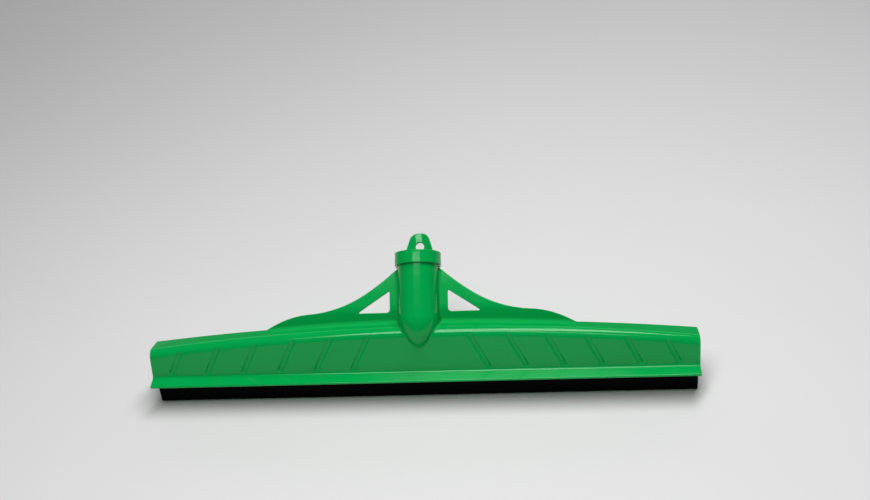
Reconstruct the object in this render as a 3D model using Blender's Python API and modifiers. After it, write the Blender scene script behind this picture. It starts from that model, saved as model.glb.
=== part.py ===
"""Foam floor squeegee head, 450 mm wide, without its handle.

X runs along the head, -Y is the front with the grooved panel, +Z is up.
The origin is on the floor, under the middle of the front foam strip.
All lengths are in metres and all angles in degrees.
"""
import math

import bmesh
import bpy
from mathutils import Matrix, Vector

# The moulded channel
BODY_LENGTH = 0.450
WALL = 0.0025
PANEL_FOOT_Z = 0.0295
PANEL_LEAN = 13.0
RIDGE_END_Z = 0.0531
RIDGE_RISE = 0.0132
ROOF_SLOPE = 17.0
REAR_LEAN = 6.0
RIDGE_RADIUS = 0.0070
REAR_RADIUS = 0.0025
CORNER_RADIUS = 0.0022
STATIONS = 24

# The lips along the mouth of the channel
LIP_THICKNESS = 0.0022
FRONT_LIP_REACH = 0.0104
FRONT_LIP_DROP = 0.0014
REAR_LIP_REACH = 0.0040
LIP_EDGE_RADIUS = 0.0009

# The grooves pressed into the front panel
GROOVES_PER_SIDE = 6
GROOVE_FIRST_X = 0.0555
GROOVE_PITCH = 0.0305
GROOVE_SLANT = 26.9
GROOVE_WIDTH = 0.0048
GROOVE_DEPTH = 0.0006
GROOVE_FOOT_MARGIN = 0.0014
GROOVE_TOP_MARGIN = 0.0010

# The foam refill and the slot that carries it
STRIP_THICKNESS = 0.0097
FOAM_HEIGHT = 0.0345
FOAM_END_INSET = 0.0005
FOAM_FOOT_RADIUS = 0.0020
FOAM_EDGE_RADIUS = 0.0012
FOAM_CLEARANCE = 0.0004
WEB_THICKNESS = 0.0024
WEB_FOOT_Z = 0.0080
GLUE_GAP = 0.0003
RAIL_INSET = 0.0020
RAIL_HEAD_WIDTH = 0.0150
RAIL_HEAD_THICKNESS = 0.0022
SLOT_CLEARANCE = 0.0004
LEDGE_THICKNESS = 0.0022

# The socket tube
SOCKET_LEAN = 45.0
SOCKET_RADIUS = 0.0167
SOCKET_FORWARD = 0.0057
SOCKET_LENGTH = 0.0539
NOSE_START = 0.0020
NOSE_LENGTH = 0.0230
NOSE_FULLNESS = 1.75
BORE_MOUTH_RADIUS = 0.0126
BORE_END_RADIUS = 0.0114
BORE_END_DROP = 0.0060

# The wings beside the socket
WING_THICKNESS = 0.0030
WING_SETBACK = 0.0022
WING_FOOT_LEAN = 23.0
WING_KNEE = 0.0110
WING_KNEE_SPAN = 0.0060
WING_TOP_GAP = 0.0011
WING_SPAN = 0.1345
SHOULDER_X = 0.0920
SHOULDER_RISE = 0.0083
WINDOW_INNER_X = 0.0240
WINDOW_OUTER_X = 0.0508
WINDOW_SILL = 0.0081
WINDOW_TOP = 0.0259
WINDOW_CORNER_RADIUS = 0.0028
WINDOW_TIP_RADIUS = 0.0004

# The seams where the channel, the socket and the wings meet
SEAM_GAP = 0.0003

# The collar with the hanging eye
COLLAR_WALL = 0.0022
COLLAR_HEIGHT = 0.0105
COLLAR_CAP = 0.0020
COLLAR_CLEARANCE = 0.0003
COLLAR_MOUTH_RADIUS = 0.0135
COLLAR_EDGE_RADIUS = 0.0007
COLLAR_TAPER = 0.0005
EYE_RISE = 0.0201
EYE_FOOT_WIDTH = 0.0262
EYE_TOP_WIDTH = 0.0100
EYE_TOP_RADIUS = 0.0035
EYE_THICKNESS = 0.0033
EYE_HOLE_RADIUS = 0.0036
EYE_HOLE_RISE = 0.0085

# How finely round shapes are divided
TURNED_STEPS = 48
ARC_STEPS = 4
KNEE_STEPS = 8
OVERLAP = 0.0010

# Places that follow from the sizes above
MID_Y = STRIP_THICKNESS / 2 + GLUE_GAP + WEB_THICKNESS / 2
FOAM_HALF_WIDTH = WEB_THICKNESS / 2 + GLUE_GAP + STRIP_THICKNESS
PANEL_TAN = math.tan(math.radians(PANEL_LEAN))
PANEL_COS = math.cos(math.radians(PANEL_LEAN))
REAR_TAN = math.tan(math.radians(REAR_LEAN))
REAR_COS = math.cos(math.radians(REAR_LEAN))
ROOF_TAN = math.tan(math.radians(ROOF_SLOPE))
ROOF_COS = math.cos(math.radians(ROOF_SLOPE))
FRONT_INNER_Y = MID_Y - FOAM_HALF_WIDTH - FOAM_CLEARANCE
REAR_INNER_Y = MID_Y + FOAM_HALF_WIDTH + FOAM_CLEARANCE
LEDGE_FOOT_Z = FOAM_HEIGHT + SLOT_CLEARANCE
RAIL_HEAD_Z = LEDGE_FOOT_Z + LEDGE_THICKNESS + GLUE_GAP
COLLAR_INNER_RADIUS = SOCKET_RADIUS + COLLAR_CLEARANCE
COLLAR_RADIUS = COLLAR_INNER_RADIUS + COLLAR_WALL
COLLAR_TOP = SOCKET_LENGTH + COLLAR_CLEARANCE + COLLAR_CAP
COLLAR_FOOT = COLLAR_TOP - COLLAR_HEIGHT
WING_HEIGHT = COLLAR_FOOT - WING_TOP_GAP
WING_FOOT_SLOPE = math.tan(math.radians(SOCKET_LEAN - WING_FOOT_LEAN))


def linear(hex_colour):
    """Turn an sRGB hex colour into linear RGBA."""
    values = [int(hex_colour[i:i + 2], 16) / 255 for i in (0, 2, 4)]
    channels = [v / 12.92 if v <= 0.04045 else ((v + 0.055) / 1.055) ** 2.4 for v in values]
    return (*channels, 1.0)


def make_material(name, hex_colour, roughness, metallic=0.0):
    material = bpy.data.materials.new(name)
    material.use_nodes = True
    shader = material.node_tree.nodes["Principled BSDF"]
    shader.inputs["Base Color"].default_value = linear(hex_colour)
    shader.inputs["Roughness"].default_value = roughness
    shader.inputs["Metallic"].default_value = metallic
    return material


def new_collection(name):
    collection = bpy.data.collections.new(name)
    bpy.context.scene.collection.children.link(collection)
    return collection


def add_object(name, data, collection, matrix=None):
    item = bpy.data.objects.new(name, data)
    collection.objects.link(item)
    if matrix is not None:
        item.matrix_world = matrix
    return item


def as_helper(item):
    """Mark an object as a cutter or a shape that is joined to a piece."""
    item.hide_render = True
    item.display_type = "WIRE"
    return item


def add_boolean(item, other, operation):
    modifier = item.modifiers.new(operation.title() + "_" + other.name, "BOOLEAN")
    modifier.operation = operation
    modifier.solver = "EXACT"
    modifier.object = other


def shade_round(mesh, angle=35.0):
    mesh.shade_smooth()
    mesh.set_sharp_from_angle(angle=math.radians(angle))


def rounded_outline(corners, steps=ARC_STEPS):
    """Replace each (point, radius) corner of a closed outline by an arc with that radius."""
    points = []
    count = len(corners)
    for i, (corner, radius) in enumerate(corners):
        if radius == 0:
            points.append(corner)
            continue
        before = (corners[i - 1][0] - corner).normalized()
        after = (corners[(i + 1) % count][0] - corner).normalized()
        half = before.angle(after) / 2
        centre = corner + (before + after).normalized() * (radius / math.sin(half))
        start = corner + before * (radius / math.tan(half)) - centre
        end = corner + after * (radius / math.tan(half)) - centre
        turn = start.angle_signed(end)
        for k in range(steps + 1):
            spoke = start.copy()
            spoke.rotate(Matrix.Rotation(-turn * k / steps, 2))
            points.append(centre + spoke)
    return points


def cubic(start, handle_a, handle_b, end, count):
    """Points along a cubic curve from start to end, both included."""
    points = []
    for k in range(count + 1):
        t = k / count
        s = 1 - t
        points.append(start * s ** 3 + handle_a * 3 * s * s * t + handle_b * 3 * s * t * t + end * t ** 3)
    return points


def flat_curve(name, outlines, thickness):
    """A flat outline with a thickness; an outline inside another one is a hole."""
    curve = bpy.data.curves.new(name, "CURVE")
    curve.dimensions = "2D"
    curve.fill_mode = "BOTH"
    curve.extrude = thickness / 2
    for outline in outlines:
        spline = curve.splines.new("POLY")
        spline.points.add(len(outline) - 1)
        for point, place in zip(spline.points, outline):
            point.co = (place[0], place[1], 0.0, 1.0)
        spline.use_cyclic_u = True
    return curve


def flat_mesh(name, outlines, thickness, collection, matrix):
    """Make a flat curve, turn it into a closed mesh and place it."""
    source = add_object(name + "_outline", flat_curve(name, outlines, thickness), collection, matrix)
    bpy.context.view_layer.update()
    evaluated = source.evaluated_get(bpy.context.evaluated_depsgraph_get())
    mesh = bpy.data.meshes.new_from_object(evaluated)
    mesh.name = name
    bpy.data.objects.remove(source)
    shape = bmesh.new()
    shape.from_mesh(mesh)
    bmesh.ops.remove_doubles(shape, verts=shape.verts, dist=0.00001)
    bmesh.ops.recalc_face_normals(shape, faces=shape.faces)
    shape.to_mesh(mesh)
    shape.free()
    return add_object(name, mesh, collection, matrix)


def turned_object(name, profile, collection, matrix, closed=False):
    """Turn a profile of (radius, height) points once about the local Z axis."""
    shape = bmesh.new()
    points = [shape.verts.new((radius, 0.0, height)) for radius, height in profile]
    for first, second in zip(points, points[1:]):
        shape.edges.new((first, second))
    if closed:
        shape.edges.new((points[-1], points[0]))
    mesh = bpy.data.meshes.new(name)
    shape.to_mesh(mesh)
    shape.free()
    item = add_object(name, mesh, collection, matrix)
    screw = item.modifiers.new("Turn", "SCREW")
    screw.steps = TURNED_STEPS
    screw.render_steps = TURNED_STEPS
    screw.use_merge_vertices = True
    screw.merge_threshold = 0.00001
    screw.use_smooth_shade = True
    return item


def arch_rise(x):
    """How far the roof at x stands above the roof at the ends."""
    return RIDGE_RISE * (1 - (x / (BODY_LENGTH / 2)) ** 2)


def panel_outer_y(z):
    """The front panel's outer face: it leans back from its foot."""
    clear_y = FRONT_INNER_Y - WALL / PANEL_COS
    return clear_y + (z - FOAM_HEIGHT) * PANEL_TAN


def rear_outer_y(z):
    """The rear wall's outer face: it leans forward from its foot."""
    clear_y = REAR_INNER_Y + WALL / REAR_COS
    return clear_y - (z - FOAM_HEIGHT) * REAR_TAN


def panel_inner_y(z):
    return panel_outer_y(z) + WALL / PANEL_COS


def rear_inner_y(z):
    return rear_outer_y(z) - WALL / REAR_COS


def ridge_corner(x):
    """Where the front panel and the roof would meet if the fold weren't rounded."""
    z = RIDGE_END_Z + arch_rise(x)
    return Vector((panel_outer_y(z), z))


def rear_corner(x):
    """Where the sloping roof meets the rear wall."""
    ridge = ridge_corner(x)
    wall_y_at_ridge = rear_outer_y(ridge.y)
    run = (wall_y_at_ridge - ridge.x) / (1 - ROOF_TAN * REAR_TAN)
    return Vector((ridge.x + run, ridge.y - run * ROOF_TAN))


def roof_z(x, y):
    ridge = ridge_corner(x)
    return ridge.y - (y - ridge.x) * ROOF_TAN


def ceiling_z(x, y):
    """The roof's underside."""
    return roof_z(x, y) - WALL / ROOF_COS


def lip_corners():
    """The front lip, from its root under the panel, round its edge, to the panel's foot."""
    foot = Vector((panel_outer_y(PANEL_FOOT_Z), PANEL_FOOT_Z))
    tip = foot + Vector((-FRONT_LIP_REACH, -FRONT_LIP_DROP))
    slope = FRONT_LIP_DROP / FRONT_LIP_REACH
    root_y = foot.x + WALL / PANEL_COS
    root_z = PANEL_FOOT_Z + (root_y - foot.x) * slope - LIP_THICKNESS
    return [
        (Vector((root_y - LIP_THICKNESS * PANEL_TAN, root_z)), 0),
        (tip - Vector((0, LIP_THICKNESS)), LIP_EDGE_RADIUS),
        (tip, LIP_EDGE_RADIUS),
        (foot, CORNER_RADIUS),
    ]


def rear_lip_corners():
    """The rear lip, from the rear wall's foot, round its edge, to its root inside."""
    foot_z = PANEL_FOOT_Z - FRONT_LIP_DROP
    foot = Vector((rear_outer_y(foot_z), foot_z))
    tip = foot + Vector((REAR_LIP_REACH, 0))
    root_z = foot_z - LIP_THICKNESS
    return [
        (foot, CORNER_RADIUS),
        (tip, LIP_EDGE_RADIUS),
        (tip - Vector((0, LIP_THICKNESS)), LIP_EDGE_RADIUS),
        (Vector((rear_outer_y(root_z) - WALL / REAR_COS, root_z)), 0),
    ]


def ledge_corners():
    """The two ledges that carry the refill's head, from the rear wall round to the front wall."""
    half_web = WEB_THICKNESS / 2 + SLOT_CLEARANCE
    ledge_top = LEDGE_FOOT_Z + LEDGE_THICKNESS
    rear = [
        (rear_inner_y(LEDGE_FOOT_Z), LEDGE_FOOT_Z),
        (MID_Y + half_web, LEDGE_FOOT_Z),
        (MID_Y + half_web, ledge_top),
        (rear_inner_y(ledge_top), ledge_top),
    ]
    front = [
        (panel_inner_y(ledge_top), ledge_top),
        (MID_Y - half_web, ledge_top),
        (MID_Y - half_web, LEDGE_FOOT_Z),
        (panel_inner_y(LEDGE_FOOT_Z), LEDGE_FOOT_Z),
    ]
    return [[(Vector(place), 0) for place in side] for side in (rear, front)]


def channel_section(x):
    """The channel's closed outline in the YZ plane at x."""
    ridge = ridge_corner(x)
    rear = rear_corner(x)
    inner_rear_y = rear.x - WALL / REAR_COS
    inner_ridge_y = ridge.x + WALL / PANEL_COS
    rear_ledge, front_ledge = ledge_corners()
    corners = lip_corners()
    corners += [(ridge, RIDGE_RADIUS), (rear, REAR_RADIUS)]
    corners += rear_lip_corners()
    corners += rear_ledge
    corners += [(Vector((inner_rear_y, ceiling_z(x, inner_rear_y))), 0)]
    corners += [(Vector((inner_ridge_y, ceiling_z(x, inner_ridge_y))), RIDGE_RADIUS - WALL)]
    corners += front_ledge
    return rounded_outline(corners)


def cover_section(x):
    """The channel's outside without its hollow, moved off the roof and the rear wall by the seam."""
    seam = Vector((SEAM_GAP, SEAM_GAP))
    corners = [
        (Vector((panel_outer_y(PANEL_FOOT_Z), PANEL_FOOT_Z)), 0),
        (ridge_corner(x), RIDGE_RADIUS),
        (rear_corner(x), REAR_RADIUS),
        (Vector((rear_outer_y(PANEL_FOOT_Z), PANEL_FOOT_Z)), 0),
    ]
    return [point + seam for point in rounded_outline(corners)]


def lofted_object(name, section, collection):
    """Loft a section along X: it grows towards the middle, where the roof arches."""
    shape = bmesh.new()
    rings = []
    for i in range(STATIONS + 1):
        x = BODY_LENGTH * (i / STATIONS - 0.5)
        rings.append([shape.verts.new((x, point.x, point.y)) for point in section(x)])
    for ring, following in zip(rings, rings[1:]):
        for k in range(len(ring)):
            shape.faces.new((ring[k - 1], ring[k], following[k], following[k - 1]))
    shape.faces.new(rings[0])
    shape.faces.new(rings[-1])
    bmesh.ops.recalc_face_normals(shape, faces=shape.faces)
    mesh = bpy.data.meshes.new(name)
    shape.to_mesh(mesh)
    shape.free()
    return add_object(name, mesh, collection)


def wing_foot():
    """The point on the roof's middle where the wings' front face rises."""
    y = rear_corner(0.0).x - WING_SETBACK
    return Vector((0.0, y, roof_z(0.0, y)))


def wing_matrix():
    """Local X along the head, local Y up the wing, local Z out of its front face."""
    return Matrix.Translation(wing_foot()) @ Matrix.Rotation(math.radians(90 - SOCKET_LEAN), 4, "X")


def socket_matrix():
    """Local Z up the socket's axis, local Y to the front."""
    forward = wing_matrix() @ Matrix.Translation((0, 0, SOCKET_FORWARD))
    return forward @ Matrix.Rotation(math.radians(-90), 4, "X") @ Matrix.Rotation(math.pi, 4, "Z")


def wing_bulge(height):
    """How far the wing stands in front of its plane: steep below its knee, along the socket above."""
    start = WING_KNEE - WING_KNEE_SPAN / 2
    past = min(max(height - start, 0.0), WING_KNEE_SPAN)
    steep = min(height, start) + past - past ** 2 / (2 * WING_KNEE_SPAN)
    return WING_FOOT_SLOPE * steep


def wing_root(x):
    """How far up the wing's plane its front face meets the roof at x."""
    foot = wing_foot()
    lean = math.radians(SOCKET_LEAN)
    drop = foot.z - roof_z(x, foot.y)
    climb = math.cos(lean) + WING_FOOT_SLOPE * math.sin(lean)
    run = math.sin(lean) - WING_FOOT_SLOPE * math.cos(lean)
    return -drop / (climb + run * ROOF_TAN)


def wing_outline(side):
    """One wing: its root follows the arched roof and its top edge is a double curve."""
    inner_x = SOCKET_RADIUS / 2
    top = Vector((SOCKET_RADIUS, WING_HEIGHT))
    shoulder = Vector((SHOULDER_X, SHOULDER_RISE))
    end = Vector((WING_SPAN, wing_root(WING_SPAN) - WALL))
    edge = cubic(
        top,
        Vector((top.x + (shoulder.x - top.x) * 0.31, shoulder.y + (top.y - shoulder.y) * 0.45)),
        Vector((top.x + (shoulder.x - top.x) * 0.57, shoulder.y + (top.y - shoulder.y) * 0.05)),
        shoulder,
        16,
    )
    edge += cubic(
        shoulder,
        Vector((shoulder.x + (end.x - shoulder.x) * 0.35, shoulder.y - (shoulder.y - end.y) * 0.06)),
        Vector((shoulder.x + (end.x - shoulder.x) * 0.68, shoulder.y - (shoulder.y - end.y) * 0.44)),
        end,
        10,
    )[1:]
    steps = 10
    root = []
    for k in range(1, steps + 1):
        x = end.x + (inner_x - end.x) * k / steps
        root.append(Vector((x, wing_root(x) - WALL)))
    outline = [Vector((inner_x, top.y))] + edge + root
    return [Vector((side * point.x, point.y)) for point in outline]


def window_outline(side):
    """The three-cornered window beside the socket."""
    corners = [
        (Vector((WINDOW_INNER_X, WINDOW_SILL)), WINDOW_CORNER_RADIUS),
        (Vector((WINDOW_INNER_X, WINDOW_TOP)), WINDOW_TIP_RADIUS),
        (Vector((WINDOW_OUTER_X, WINDOW_SILL)), WINDOW_TIP_RADIUS),
    ]
    return [Vector((side * point.x, point.y)) for point in rounded_outline(corners)]


def bend_wing(mesh):
    """Cut a flat wing into level bands across its knee and push each level forward by its bulge."""
    shape = bmesh.new()
    shape.from_mesh(mesh)
    for i in range(KNEE_STEPS + 1):
        level = WING_KNEE + WING_KNEE_SPAN * (i / KNEE_STEPS - 0.5)
        everything = shape.verts[:] + shape.edges[:] + shape.faces[:]
        bmesh.ops.bisect_plane(shape, geom=everything, plane_co=(0, level, 0), plane_no=(0, 1, 0))
    for vert in shape.verts:
        vert.co.z += wing_bulge(vert.co.y)
    shape.to_mesh(mesh)
    shape.free()


def make_wing(name, side, parts, cover, space, material):
    """One wing, bent, and cut clear of the roof below it and of the socket beside it."""
    place = wing_matrix() @ Matrix.Translation((0, 0, -WING_THICKNESS / 2))
    wing = flat_mesh(name, [wing_outline(side), window_outline(side)], WING_THICKNESS, parts, place)
    bend_wing(wing.data)
    add_boolean(wing, cover, "DIFFERENCE")
    add_boolean(wing, space, "DIFFERENCE")
    wing.data.materials.append(material)
    return wing


def make_tube(name, grown, collection):
    """The socket's outside, grown by a seam: a straight tube that narrows to a rounded nose."""
    end = SOCKET_LENGTH + grown
    tube_radius = SOCKET_RADIUS + grown
    nose_length = NOSE_LENGTH + grown
    profile = [(0.0, end), (tube_radius, end)]
    steps = 12
    for k in range(steps):
        turn = math.pi / 2 * k / steps
        radius = tube_radius * math.cos(turn) ** (2 / NOSE_FULLNESS)
        depth = nose_length * math.sin(turn) ** (2 / NOSE_FULLNESS)
        profile.append((radius, NOSE_START - depth))
    profile.append((0.0, NOSE_START - nose_length))
    return turned_object(name, profile, collection, socket_matrix())


def make_bore(collection):
    """The space in the socket: a tapered bore with a round end."""
    profile = [(0.0, SOCKET_LENGTH + OVERLAP), (BORE_MOUTH_RADIUS, SOCKET_LENGTH + OVERLAP)]
    steps = 8
    for k in range(steps):
        turn = math.pi / 2 * k / steps
        depth = BORE_END_DROP + BORE_END_RADIUS * math.sin(turn)
        profile.append((BORE_END_RADIUS * math.cos(turn), -depth))
    profile.append((0.0, -BORE_END_DROP - BORE_END_RADIUS))
    return as_helper(turned_object("socket_bore", profile, collection, socket_matrix()))


def groove_outline(index, side):
    """A slanting slot with round ends, in the panel's own plane."""
    slant = math.radians(GROOVE_SLANT)
    foot_x = GROOVE_FIRST_X + GROOVE_PITCH * index
    foot = Vector((foot_x, GROOVE_FOOT_MARGIN + GROOVE_WIDTH / 2))
    ridge = (ridge_corner(foot_x).y - PANEL_FOOT_Z) / PANEL_COS
    top_y = ridge - GROOVE_TOP_MARGIN - GROOVE_WIDTH / 2
    top = Vector((foot_x - (top_y - foot.y) * math.tan(slant), top_y))
    along = (top - foot).normalized()
    across = Vector((-along.y, along.x)) * (GROOVE_WIDTH / 2)
    steps = 8
    points = []
    for centre, first in ((foot, across), (top, -across)):
        for k in range(steps + 1):
            spoke = first.copy()
            spoke.rotate(Matrix.Rotation(-math.pi * k / steps, 2))
            points.append(centre + spoke)
    return [Vector((side * point.x, point.y)) for point in points]


def make_grooves(collection):
    """Local X along the head, local Y up the panel, local Z out of its face."""
    outlines = []
    for side in (-1, 1):
        outlines += [groove_outline(index, side) for index in range(GROOVES_PER_SIDE)]
    foot = Matrix.Translation((0.0, panel_outer_y(PANEL_FOOT_Z), PANEL_FOOT_Z))
    place = foot @ Matrix.Rotation(math.radians(90 - PANEL_LEAN), 4, "X")
    return as_helper(flat_mesh("grooves", outlines, 2 * GROOVE_DEPTH, collection, place))


def make_head(parts, helpers, material):
    """The moulding, as a channel, a bored socket that is sunk in it, and two wings."""
    space = as_helper(make_tube("socket_space", SEAM_GAP, helpers))
    cover = as_helper(lofted_object("channel_cover", cover_section, helpers))
    channel = lofted_object("head_channel", channel_section, parts)
    add_boolean(channel, space, "DIFFERENCE")
    add_boolean(channel, make_grooves(helpers), "DIFFERENCE")
    channel.data.materials.append(material)
    socket = make_tube("handle_socket", 0.0, parts)
    add_boolean(socket, make_bore(helpers), "DIFFERENCE")
    socket.data.materials.append(material)
    left = make_wing("wing_left", -1, parts, cover, space, material)
    right = make_wing("wing_right", 1, parts, cover, space, material)
    return [channel, socket, left, right]


def make_eye(collection):
    """The hanging eye: a piece of the collar's wall that rises behind the mouth."""
    inner = COLLAR_RADIUS - EYE_THICKNESS
    foot = COLLAR_TOP - COLLAR_CAP + OVERLAP
    top = COLLAR_TOP + EYE_RISE
    ring = [(inner, foot), (inner, top + OVERLAP), (COLLAR_RADIUS, top + OVERLAP), (COLLAR_RADIUS, foot)]
    eye = as_helper(turned_object("hanging_eye", ring, collection, socket_matrix(), closed=True))
    tongue = rounded_outline([
        (Vector((-EYE_FOOT_WIDTH / 2, foot - OVERLAP)), 0),
        (Vector((EYE_FOOT_WIDTH / 2, foot - OVERLAP)), 0),
        (Vector((EYE_TOP_WIDTH / 2, top)), EYE_TOP_RADIUS),
        (Vector((-EYE_TOP_WIDTH / 2, top)), EYE_TOP_RADIUS),
    ], steps=8)
    steps = 16
    hole = []
    for k in range(steps):
        turn = 2 * math.pi * k / steps
        rise = COLLAR_TOP + EYE_HOLE_RISE + EYE_HOLE_RADIUS * math.sin(turn)
        hole.append(Vector((EYE_HOLE_RADIUS * math.cos(turn), rise)))
    back = wing_matrix() @ Matrix.Translation((0, 0, SOCKET_FORWARD - COLLAR_RADIUS))
    template = flat_mesh("eye_template", [tongue, hole], 2 * COLLAR_RADIUS, collection, back)
    add_boolean(eye, as_helper(template), "INTERSECT")
    return eye


def make_collar(parts, helpers, material):
    """A ring that is pressed over the socket's end, with a cap that seats on its rim."""
    edge = COLLAR_EDGE_RADIUS
    profile = [
        (COLLAR_INNER_RADIUS, COLLAR_FOOT),
        (COLLAR_INNER_RADIUS, COLLAR_TOP - COLLAR_CAP),
        (COLLAR_MOUTH_RADIUS, COLLAR_TOP - COLLAR_CAP),
        (COLLAR_MOUTH_RADIUS, COLLAR_TOP),
        (COLLAR_RADIUS - edge, COLLAR_TOP),
        (COLLAR_RADIUS, COLLAR_TOP - edge),
        (COLLAR_RADIUS - COLLAR_TAPER, COLLAR_FOOT),
    ]
    collar = turned_object("hanging_collar", profile, parts, socket_matrix(), closed=True)
    add_boolean(collar, make_eye(helpers), "UNION")
    collar.data.materials.append(material)
    return collar


def make_foam_strip(name, middle_y, parts, helpers, material):
    """A strip of foam with softened edges and more rounded corners at its foot."""
    half = BODY_LENGTH / 2 - FOAM_END_INSET
    corners = [
        (Vector((-half, 0.0)), FOAM_FOOT_RADIUS),
        (Vector((half, 0.0)), FOAM_FOOT_RADIUS),
        (Vector((half, FOAM_HEIGHT)), FOAM_EDGE_RADIUS),
        (Vector((-half, FOAM_HEIGHT)), FOAM_EDGE_RADIUS),
    ]
    place = Matrix.Translation((0, middle_y, 0)) @ Matrix.Rotation(math.radians(90), 4, "X")
    strip = flat_mesh(name, [rounded_outline(corners)], STRIP_THICKNESS, parts, place)
    bevel = strip.modifiers.new("Soft_edges", "BEVEL")
    bevel.width = FOAM_EDGE_RADIUS
    bevel.segments = 2
    bevel.limit_method = "ANGLE"
    bevel.angle_limit = math.radians(40)
    strip.data.materials.append(material)
    return strip


def make_rail(parts, material):
    """The refill's backbone: a web between the strips with a T head in the slot."""
    web = WEB_THICKNESS / 2
    head = RAIL_HEAD_WIDTH / 2
    head_top = RAIL_HEAD_Z + RAIL_HEAD_THICKNESS
    outline = [
        Vector((-web, WEB_FOOT_Z)),
        Vector((web, WEB_FOOT_Z)),
        Vector((web, RAIL_HEAD_Z)),
        Vector((head, RAIL_HEAD_Z)),
        Vector((head, head_top)),
        Vector((-head, head_top)),
        Vector((-head, RAIL_HEAD_Z)),
        Vector((-web, RAIL_HEAD_Z)),
    ]
    upright = Matrix.Rotation(math.radians(90), 4, "Z") @ Matrix.Rotation(math.radians(90), 4, "X")
    place = Matrix.Translation((0, MID_Y, 0)) @ upright
    rail = flat_mesh("refill_rail", [outline], BODY_LENGTH - 2 * RAIL_INSET, parts, place)
    rail.data.materials.append(material)
    return rail


def main():
    for item in list(bpy.data.objects):
        bpy.data.objects.remove(item, do_unlink=True)
    parts = new_collection("foam_floor_squeegee")
    helpers = new_collection("cutters")
    green = make_material("green_polypropylene", "00A24A", 0.35)
    black = make_material("black_cellular_rubber", "0C0C0E", 0.95)
    grey = make_material("grey_polypropylene", "3A3D40", 0.5)
    moulded = make_head(parts, helpers, green)
    moulded.append(make_collar(parts, helpers, green))
    strip_offset = WEB_THICKNESS / 2 + GLUE_GAP + STRIP_THICKNESS / 2
    make_foam_strip("foam_front", MID_Y - strip_offset, parts, helpers, black)
    make_foam_strip("foam_rear", MID_Y + strip_offset, parts, helpers, black)
    make_rail(parts, grey)
    for item in moulded:
        shade_round(item.data)


main()
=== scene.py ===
# %% [markdown]
# # A foam floor squeegee head
# The real object is the head of a floor squeegee: a long arched moulding of glossy green
# polypropylene, a leaning socket for the handle with a wing on each side, and two strips of black
# cellular rubber on a rail that slides in from the end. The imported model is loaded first. It is the
# fixed frame that each piece of this scene is laid on, in metres.

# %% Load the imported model
import math

import bpy
from mathutils import Matrix, Vector, kdtree


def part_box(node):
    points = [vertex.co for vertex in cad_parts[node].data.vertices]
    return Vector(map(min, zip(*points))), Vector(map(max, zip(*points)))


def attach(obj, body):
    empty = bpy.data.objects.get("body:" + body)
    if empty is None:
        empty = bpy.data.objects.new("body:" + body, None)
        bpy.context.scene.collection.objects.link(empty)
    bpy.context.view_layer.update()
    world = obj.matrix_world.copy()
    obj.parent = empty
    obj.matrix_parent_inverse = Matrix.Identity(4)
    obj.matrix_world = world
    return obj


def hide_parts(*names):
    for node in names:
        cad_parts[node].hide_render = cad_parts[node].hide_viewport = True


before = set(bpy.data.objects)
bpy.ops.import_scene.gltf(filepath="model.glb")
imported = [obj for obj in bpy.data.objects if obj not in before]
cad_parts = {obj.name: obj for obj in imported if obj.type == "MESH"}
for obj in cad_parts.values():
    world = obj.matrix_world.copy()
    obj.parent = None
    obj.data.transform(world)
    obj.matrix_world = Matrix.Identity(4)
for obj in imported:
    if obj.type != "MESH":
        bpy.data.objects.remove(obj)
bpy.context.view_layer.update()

# %% [markdown]
# ## The camera
# The camera stands where the photographer's did: a little to the right of the middle, looking down
# by about 34 degrees and rolled by a few degrees, because the head slopes in the picture. A lens of
# 50 mm on a 36 mm wide sensor gives the same perspective, so nothing else has to be shifted.

# %% Camera
CAMERA_PLACE = (0.10904, -0.7675, 0.66214)
CAMERA_TURN = 6.59
CAMERA_PITCH = 33.92
CAMERA_ROLL = -5.62
CAMERA_LENS, SENSOR_WIDTH = 50.07, 36


def turn(angle, axis):
    """A rotation by an angle in degrees about one axis."""
    return Matrix.Rotation(math.radians(angle), 4, axis)


bpy.ops.object.camera_add()
camera = bpy.context.object
camera.name = "photo_camera"
camera.data.lens = CAMERA_LENS
camera.data.sensor_width = SENSOR_WIDTH
camera.data.sensor_fit = "HORIZONTAL"
camera.data.clip_start = 0.01
look = turn(CAMERA_TURN, "Z") @ turn(90 - CAMERA_PITCH, "X") @ turn(CAMERA_ROLL, "Z")
camera.matrix_world = Matrix.Translation(CAMERA_PLACE) @ look
bpy.context.scene.camera = camera
print("camera", tuple(round(v, 3) for v in camera.location))

# %% [markdown]
# ## Tools for picking and shaping
# Every piece starts as a primitive. Edit-mode operators act on all that is selected, and loading the
# frame leaves its nodes selected, so each tool below first lets go of everything. Outlines are laid
# on a mesh circle, because its points already follow each other round.

# %% Picking
def let_go():
    """Leave edit mode and deselect everything."""
    if bpy.context.object and bpy.context.object.mode != "OBJECT":
        bpy.ops.object.mode_set(mode="OBJECT")
    bpy.ops.object.select_all(action="DESELECT")


def take(piece, *others):
    """Select these objects alone, with the first one active."""
    let_go()
    for item in (piece, *others):
        item.select_set(True)
    bpy.context.view_layer.objects.active = piece


def edit(piece, pick="VERT", everything=False):
    """Open a piece in edit mode with all of it or nothing selected."""
    take(piece)
    bpy.ops.object.mode_set(mode="EDIT")
    bpy.ops.mesh.select_mode(type=pick)
    bpy.ops.mesh.select_all(action="SELECT" if everything else "DESELECT")


def edit_some(piece, pick, wanted):
    """Open a piece in edit mode with those vertices, edges or faces selected that fit."""
    edit(piece, pick)
    bpy.ops.object.mode_set(mode="OBJECT")
    mesh = piece.data
    for part in {"VERT": mesh.vertices, "EDGE": mesh.edges, "FACE": mesh.polygons}[pick]:
        part.select = wanted(part)
    bpy.ops.object.mode_set(mode="EDIT")


def done():
    """Back to object mode."""
    bpy.ops.object.mode_set(mode="OBJECT")

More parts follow.
